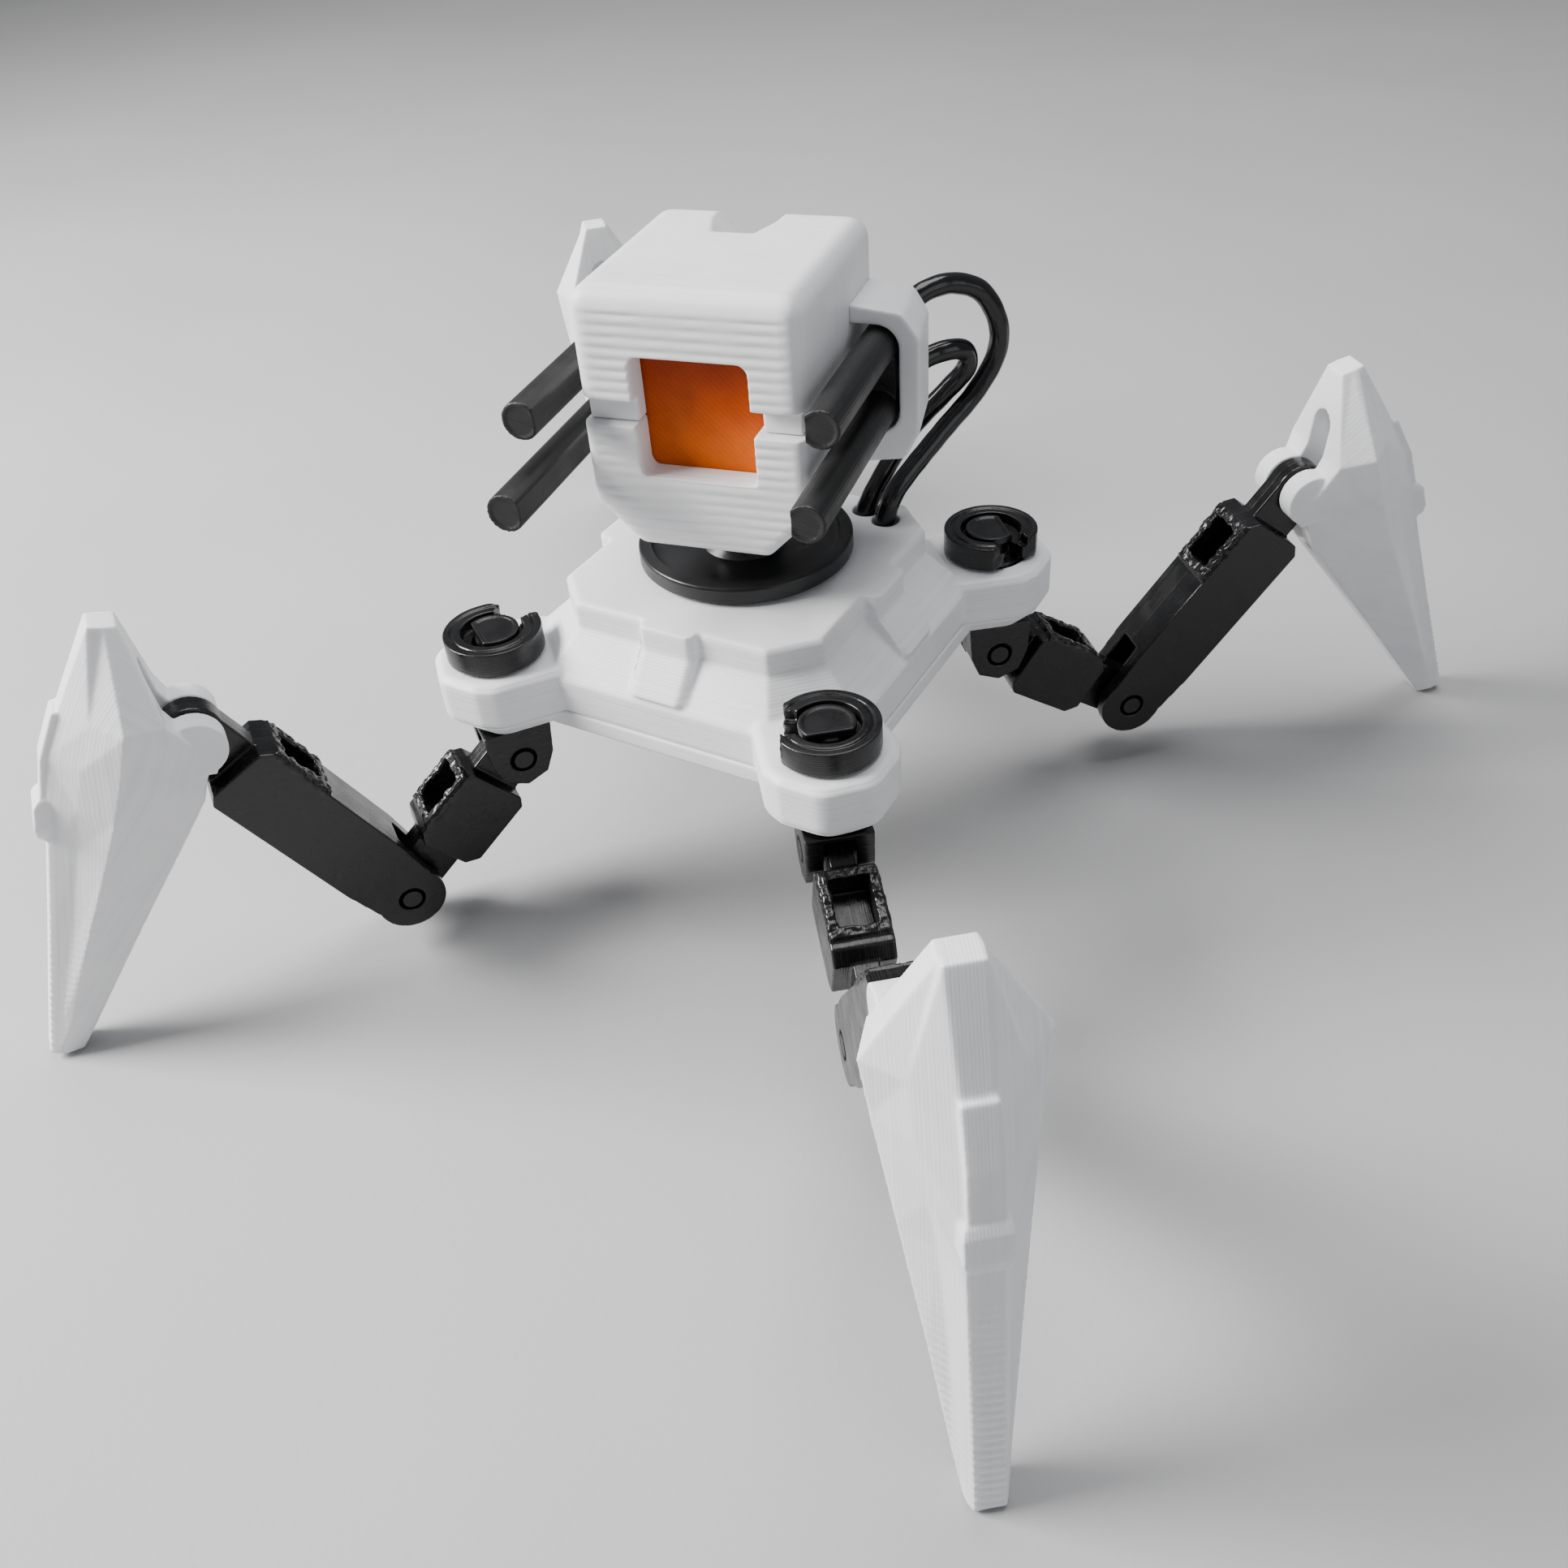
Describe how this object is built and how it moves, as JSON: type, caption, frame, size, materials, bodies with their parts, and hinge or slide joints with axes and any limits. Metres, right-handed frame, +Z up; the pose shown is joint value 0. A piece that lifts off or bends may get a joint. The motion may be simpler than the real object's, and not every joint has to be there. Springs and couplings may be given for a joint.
{
  "type": "spider robot",
  "caption": "Posable four-legged spider robot: white armour shells on black snap-together links, turret head with an orange window, twin side barrels and two rear hoses.",
  "frame": {"origin": "middle of the footprint on the floor the feet stand on", "axes": "+Z up, -Y the front of the robot, +X its left-hand side as it faces the viewer"},
  "size_m": [0.1102, 0.1082, 0.0564],
  "materials": {
    "white_print": "satin printed plastic with fine layer lines",
    "black_print": "semi-gloss printed plastic with fine layer lines",
    "hose_black": "glossy extruded filament",
    "orange_window": "satin printed plastic"
  },
  "bodies": {
    "body": {"body_upper_shell": "white_print", "belly_plate": "white_print"},
    "head": {"turret_disc": "black_print", "turret_clip": "black_print", "head_upper_shell": "white_print", "head_lower_shell": "white_print", "window_pane": "orange_window", "gun_bracket_right": "white_print", "gun_bracket_left": "white_print", "gun_barrels_right": "black_print", "gun_barrels_left": "black_print", "hose_outer": "hose_black", "hose_inner": "hose_black"},
    "front_left_hip": {"front_left_hip_yoke": "black_print", "front_left_hip_clip": "black_print", "front_left_hip_pin": "black_print"},
    "front_left_lower": {"front_left_lower_link": "black_print"},
    "front_left_upper": {"front_left_upper_link": "black_print", "front_left_knee_pin": "black_print"},
    "front_left_foot": {"front_left_shin": "white_print", "front_left_ankle_pin": "black_print"},
    "front_right_hip": {"front_right_hip_yoke": "black_print", "front_right_hip_clip": "black_print", "front_right_hip_pin": "black_print"},
    "front_right_lower": {"front_right_lower_link": "black_print"},
    "front_right_upper": {"front_right_upper_link": "black_print", "front_right_knee_pin": "black_print"},
    "front_right_foot": {"front_right_shin": "white_print", "front_right_ankle_pin": "black_print"},
    "rear_right_hip": {"rear_right_hip_yoke": "black_print", "rear_right_hip_clip": "black_print", "rear_right_hip_pin": "black_print"},
    "rear_right_lower": {"rear_right_lower_link": "black_print"},
    "rear_right_upper": {"rear_right_upper_link": "black_print", "rear_right_knee_pin": "black_print"},
    "rear_right_foot": {"rear_right_shin": "white_print", "rear_right_ankle_pin": "black_print"},
    "rear_left_hip": {"rear_left_hip_yoke": "black_print", "rear_left_hip_clip": "black_print", "rear_left_hip_pin": "black_print"},
    "rear_left_lower": {"rear_left_lower_link": "black_print"},
    "rear_left_upper": {"rear_left_upper_link": "black_print", "rear_left_knee_pin": "black_print"},
    "rear_left_foot": {"rear_left_shin": "white_print", "rear_left_ankle_pin": "black_print"}
  },
  "joints": [
    {"name": "turret_yaw", "type": "hinge", "parent": "body", "child": "head", "pos_m": [0.00048, -0.00015, 0], "axis": [0, 0, 1], "range_deg": [-40, 35], "deforming": ["hose_outer", "hose_inner"]},
    {"name": "front_left_hip_yaw", "type": "hinge", "parent": "body", "child": "front_left_hip", "pos_m": [-0.01552, -0.01615, 0], "axis": [0, 0, 1], "range_deg": [-70, 50]},
    {"name": "front_left_hip_pitch", "type": "hinge", "parent": "front_left_hip", "child": "front_left_lower", "pos_m": [-0.01569, -0.01639, 0.016], "axis": [-0.8192, 0.5736, 0], "range_deg": [-34, 40.9]},
    {"name": "front_left_knee", "type": "hinge", "parent": "front_left_lower", "child": "front_left_upper", "pos_m": [-0.02297, -0.02678, 0.00498], "axis": [-0.8192, 0.5736, 0], "range_deg": [-102.2, 9.7]},
    {"name": "front_left_ankle", "type": "hinge", "parent": "front_left_upper", "child": "front_left_foot", "pos_m": [-0.02996, -0.03677, 0.02726], "axis": [-0.8192, 0.5736, 0], "range_deg": [-4, 71]},
    {"name": "front_right_hip_yaw", "type": "hinge", "parent": "body", "child": "front_right_hip", "pos_m": [0.01648, -0.01615, 0], "axis": [0, 0, 1], "range_deg": [-53.8, 66.2]},
    {"name": "front_right_hip_pitch", "type": "hinge", "parent": "front_right_hip", "child": "front_right_lower", "pos_m": [0.01667, -0.01638, 0.016], "axis": [-0.7793, -0.6266, 0], "range_deg": [-54.8, 20.1]},
    {"name": "front_right_knee", "type": "hinge", "parent": "front_right_lower", "child": "front_right_upper", "pos_m": [0.02655, -0.02867, 0.01021], "axis": [-0.7793, -0.6266, 0], "range_deg": [-72.1, 39.8]},
    {"name": "front_right_ankle", "type": "hinge", "parent": "front_right_upper", "child": "front_right_foot", "pos_m": [0.03635, -0.04086, 0.03023], "axis": [-0.7793, -0.6266, 0], "range_deg": [-2, 73]},
    {"name": "rear_right_hip_yaw", "type": "hinge", "parent": "body", "child": "rear_right_hip", "pos_m": [0.01648, 0.01585, 0], "axis": [0, 0, 1], "range_deg": [-56.8, 63.2]},
    {"name": "rear_right_hip_pitch", "type": "hinge", "parent": "rear_right_hip", "child": "rear_right_lower", "pos_m": [0.0167, 0.01605, 0.016], "axis": [0.6665, -0.7455, 0], "range_deg": [-42.2, 32.7]},
    {"name": "rear_right_knee", "type": "hinge", "parent": "rear_right_lower", "child": "rear_right_upper", "pos_m": [0.02723, 0.02547, 0.00691], "axis": [0.6665, -0.7455, 0], "range_deg": [-84.9, 27]},
    {"name": "rear_right_ankle", "type": "hinge", "parent": "rear_right_upper", "child": "rear_right_foot", "pos_m": [0.03884, 0.03585, 0.02698], "axis": [0.6665, -0.7455, 0], "range_deg": [-14, 61]},
    {"name": "rear_left_hip_yaw", "type": "hinge", "parent": "body", "child": "rear_left_hip", "pos_m": [-0.01552, 0.01585, 0], "axis": [0, 0, 1], "range_deg": [-61, 59]},
    {"name": "rear_left_hip_pitch", "type": "hinge", "parent": "rear_left_hip", "child": "rear_left_lower", "pos_m": [-0.01574, 0.01606, 0.016], "axis": [0.6947, 0.7193, 0], "range_deg": [-64.9, 10]},
    {"name": "rear_left_knee", "type": "hinge", "parent": "rear_left_lower", "child": "rear_left_upper", "pos_m": [-0.02764, 0.02755, 0.01307], "axis": [0.6947, 0.7193, 0], "range_deg": [-49, 62.9]},
    {"name": "rear_left_ankle", "type": "hinge", "parent": "rear_left_upper", "child": "rear_left_foot", "pos_m": [-0.04184, 0.04127, 0.02905], "axis": [0.6947, 0.7193, 0], "range_deg": [-20, 55]}
  ]
}
